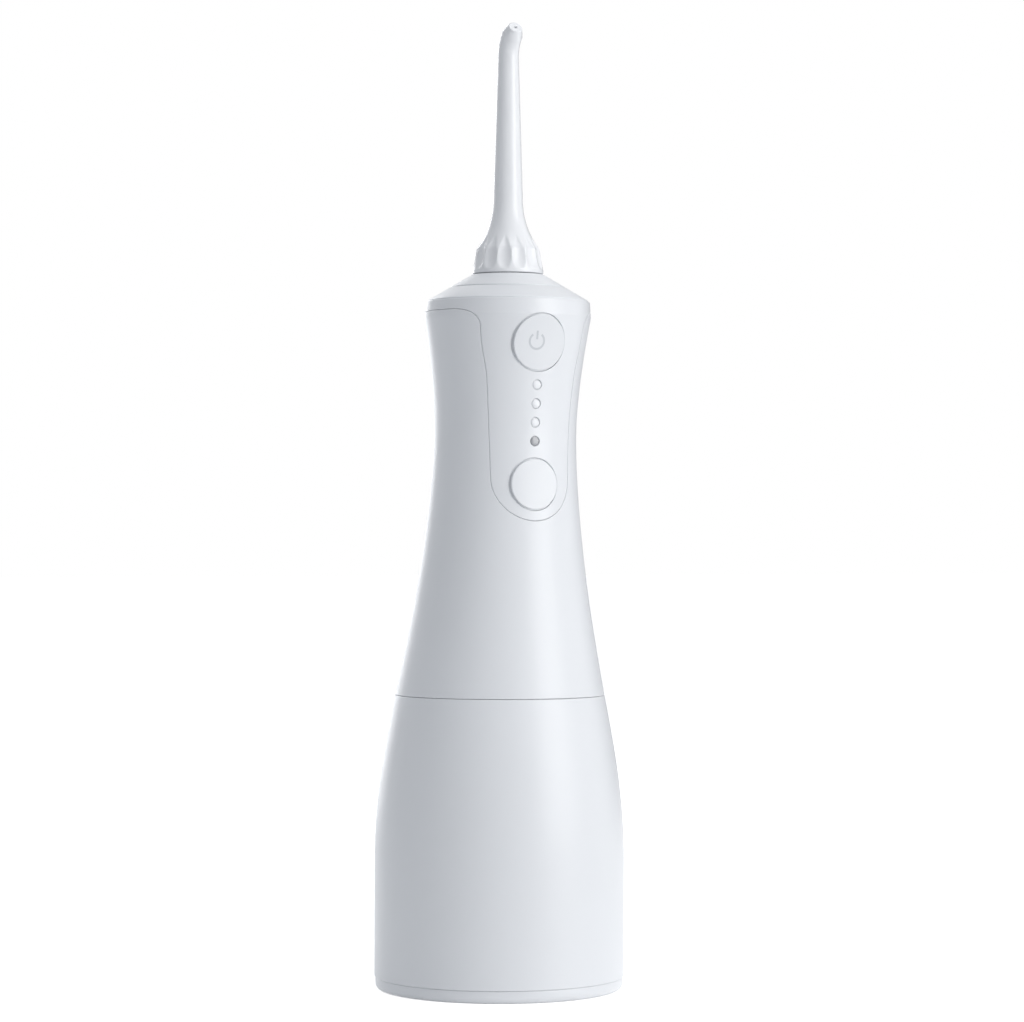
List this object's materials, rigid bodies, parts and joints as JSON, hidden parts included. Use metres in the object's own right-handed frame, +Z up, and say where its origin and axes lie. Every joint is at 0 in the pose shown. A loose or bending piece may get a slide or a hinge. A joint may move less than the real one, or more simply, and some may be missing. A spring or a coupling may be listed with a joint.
{
  "type": "cordless water flosser",
  "caption": "Standing cordless water flosser: pull-off round tank, waisted handle with two round front buttons and lights, conical cap and a slim turning nozzle.",
  "frame": {"origin": "middle of the tank's round foot, on the surface it stands on", "axes": "+Z up along the tank's axis, -Y towards the side with the buttons, +X to the right of a viewer who faces the buttons"},
  "size_m": [0.072, 0.072, 0.2777],
  "materials": {
    "shell_white": "satin cool white",
    "panel_white": "satin cool white",
    "button_white": "satin cool white",
    "nozzle_white": "satin cool white",
    "inner_plastic": "matte",
    "frame_plastic": "matte",
    "seal_rubber": "matte",
    "flap_rubber": "matte",
    "clear_plastic": "gloss",
    "steel": "brushed",
    "brass": "machined",
    "cell_wrap": "satin",
    "board": "satin",
    "pipe": "gloss"
  },
  "bodies": {
    "tank": {"tank_shell": "shell_white", "tank_base": "shell_white", "tank_base_seal": "seal_rubber"},
    "tank_flap": {"fill_cap": "flap_rubber"},
    "handle": {"grip_shell": "shell_white", "front_fascia": "panel_white", "top_cap": "shell_white", "handle_base": "inner_plastic", "tank_seal": "seal_rubber", "dip_tube": "clear_plastic", "inlet_filter": "frame_plastic", "inner_frame": "frame_plastic", "frame_screws": "steel", "motor_can": "steel", "motor_end_cap": "inner_plastic", "motor_terminals": "brass", "gear_axle": "steel", "pump_cylinder": "clear_plastic", "pump_head": "frame_plastic", "pump_valves": "seal_rubber", "inlet_hose": "clear_plastic", "pressure_hose": "clear_plastic", "battery_cell": "cell_wrap", "battery_contacts": "steel", "circuit_board": "board", "tact_switches": "frame_plastic", "board_leds": "pipe", "light_pipes": "pipe", "charge_socket": "steel", "nozzle_socket": "inner_plastic", "release_spring": "steel"},
    "inlet_flap": {"charge_cover": "flap_rubber"},
    "power_key": {"power_button": "button_white"},
    "mode_key": {"mode_button": "button_white"},
    "release_key": {"release_button": "button_white"},
    "dial": {"nozzle_dial": "nozzle_white", "dial_seal": "seal_rubber"},
    "nozzle": {"nozzle_body": "nozzle_white", "nozzle_seal": "seal_rubber"},
    "rotor": {"motor_shaft": "steel", "drive_pinion": "brass"},
    "crank": {"crank_gear": "inner_plastic", "crank_pin": "steel"},
    "piston": {"piston_rod": "inner_plastic", "piston_seal": "seal_rubber"}
  },
  "joints": [
    {"name": "handle_lift", "type": "slide", "parent": "tank", "child": "handle", "axis": [0, 0, 1], "range_m": [0, 0.09]},
    {"name": "fill_flap_hinge", "type": "hinge", "parent": "tank", "child": "tank_flap", "pos_m": [0, 0.03471, 0.05825], "axis": [1, 0, 0], "range_deg": [0, 110]},
    {"name": "inlet_flap_hinge", "type": "hinge", "parent": "handle", "child": "inlet_flap", "pos_m": [0, 0.02544, 0.1053], "axis": [1, 0, 0], "range_deg": [0, 110]},
    {"name": "power_press", "type": "slide", "parent": "handle", "child": "power_key", "axis": [0, 1, 0], "range_m": [0, 0.0006], "stiffness_N_per_m": 900, "springref_m": -0.0003},
    {"name": "mode_press", "type": "slide", "parent": "handle", "child": "mode_key", "axis": [0, 1, 0], "range_m": [0, 0.0006], "stiffness_N_per_m": 900, "springref_m": -0.0003},
    {"name": "release_press", "type": "slide", "parent": "handle", "child": "release_key", "axis": [0, -1, 0], "range_m": [0, 0.0015], "stiffness_N_per_m": 600, "springref_m": -0.001, "deforming": ["release_spring"]},
    {"name": "nozzle_turn", "type": "hinge", "parent": "handle", "child": "dial", "pos_m": [0, -0.005, 0.2], "axis": [0, 0, 1], "continuous": true},
    {"name": "nozzle_pull", "type": "slide", "parent": "dial", "child": "nozzle", "axis": [0, 0, 1], "range_m": [0, 0.02]},
    {"name": "crank_spin", "type": "hinge", "parent": "handle", "child": "crank", "pos_m": [0.006, -0.001, 0.1111], "axis": [1, 0, 0], "continuous": true},
    {"name": "motor_spin", "type": "hinge", "parent": "handle", "child": "rotor", "pos_m": [0.006, -0.001, 0.098], "axis": [1, 0, 0], "continuous": true},
    {"name": "piston_stroke", "type": "slide", "parent": "handle", "child": "piston", "axis": [0, 0, 1], "range_m": [0, 0.008]}
  ],
  "couplings": [
    {"joint": "motor_spin", "follows": "crank_spin", "ratio": -3.3333}
  ]
}
